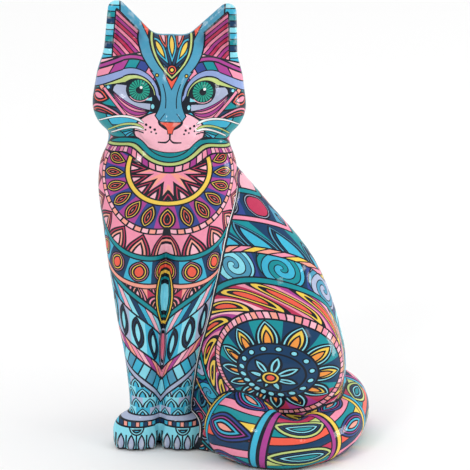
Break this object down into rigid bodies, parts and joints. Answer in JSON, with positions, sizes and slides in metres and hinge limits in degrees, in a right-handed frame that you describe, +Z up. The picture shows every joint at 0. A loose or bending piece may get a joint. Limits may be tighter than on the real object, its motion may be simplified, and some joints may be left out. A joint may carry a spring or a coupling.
{
  "type": "cat figurine",
  "caption": "Seated cat ornament cast as one glossy piece, tail wrapped round to the front paws, printed all over with a colourful leaf and scroll pattern.",
  "frame": {"origin": "on the flat underside, below the belly", "axes": "+Z up, the cat's face towards -Y, its tail and haunch towards +X"},
  "size_m": [0.116, 0.0978, 0.1919],
  "materials": {
    "printed_glaze": "all-over printed pattern under a glossy clear coat"
  },
  "bodies": {
    "root": {"cat": "printed_glaze"}
  },
  "joints": []
}
